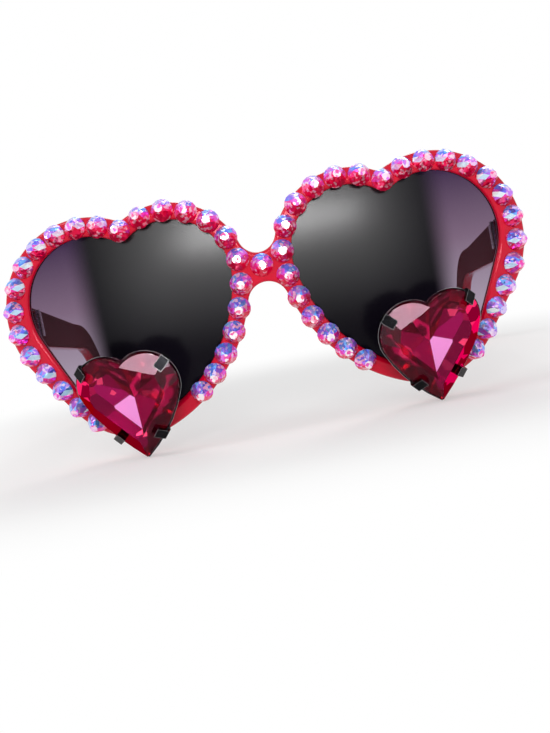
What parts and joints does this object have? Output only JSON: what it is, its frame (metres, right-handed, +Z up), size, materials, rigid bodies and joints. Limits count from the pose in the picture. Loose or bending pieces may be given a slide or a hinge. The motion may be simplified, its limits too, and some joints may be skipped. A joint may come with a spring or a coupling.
{
  "type": "heart shaped sunglasses",
  "caption": "Heart shaped wrap sunglasses with crystal edged rims, a large claw set heart stone low on each lens and temples that fold on barrel hinges.",
  "frame": {"origin": "foremost point of the bridge, where the middle crystal is glued", "axes": "+X to the wearer's left, +Y from the front back along the temples, +Z up"},
  "size_m": [0.153, 0.1649, 0.0716],
  "materials": {
    "frame": "polished red moulded plastic",
    "lens": "glossy dark smoke tint",
    "hinge": "bright plated",
    "crystal": "foiled crystal with a rainbow coat",
    "heart_stone": "foiled ruby fuchsia crystal",
    "setting": "black gunmetal plate",
    "adhesive": "cured clear jewellery glue"
  },
  "bodies": {
    "front": {"front_frame": "frame", "lens_left": "lens", "lens_right": "lens", "front_hinge_left": "hinge", "front_hinge_right": "hinge", "hinge_screw_left": "hinge", "hinge_screw_right": "hinge", "heart_crystal_left": "heart_stone", "heart_crystal_right": "heart_stone", "claw_setting_left": "setting", "claw_setting_right": "setting", "glue_pad_left": "adhesive", "glue_pad_right": "adhesive", "bridge_crystal": "crystal", "notch_crystal_left": "crystal", "notch_crystal_right": "crystal", "inner_lobe_crystals_left": "crystal", "inner_lobe_crystals_right": "crystal", "nose_side_crystals_left": "crystal", "nose_side_crystals_right": "crystal", "outer_lobe_crystals_left": "crystal", "outer_lobe_crystals_right": "crystal", "cheek_side_crystals_left": "crystal", "cheek_side_crystals_right": "crystal"},
    "left_temple": {"temple_left": "frame", "temple_hinge_left": "hinge"},
    "right_temple": {"temple_right": "frame", "temple_hinge_right": "hinge"}
  },
  "joints": [
    {"name": "left_temple_fold", "type": "hinge", "parent": "front", "child": "left_temple", "pos_m": [0.0693, 0.028, -0.0055], "axis": [0, 0, 1], "range_deg": [0, 90]},
    {"name": "right_temple_fold", "type": "hinge", "parent": "front", "child": "right_temple", "pos_m": [-0.0693, 0.028, -0.0055], "axis": [0, 0, -1], "range_deg": [0, 80]}
  ]
}
